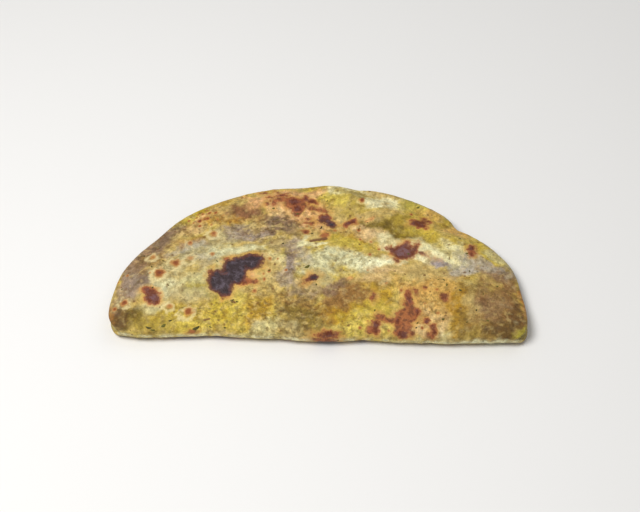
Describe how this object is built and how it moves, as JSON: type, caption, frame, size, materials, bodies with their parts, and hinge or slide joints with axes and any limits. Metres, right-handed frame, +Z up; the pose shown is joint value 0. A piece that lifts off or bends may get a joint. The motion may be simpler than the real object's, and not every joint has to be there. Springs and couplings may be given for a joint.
{
  "type": "paratha flatbread",
  "caption": "Thin round flatbread folded in half into a half-moon, its top flap gently rippled and its rim uneven.",
  "frame": {"origin": "middle of the bottom of the bread's bounding box", "axes": "+X along the fold, +Y from the fold to the open arc, +Z up from the surface the bread lies on"},
  "size_m": [0.1806, 0.0864, 0.0127],
  "materials": {
    "crust": "pan-cooked dough, yellow-olive with browned spots"
  },
  "bodies": {
    "root": {"paratha": "crust"}
  },
  "joints": []
}
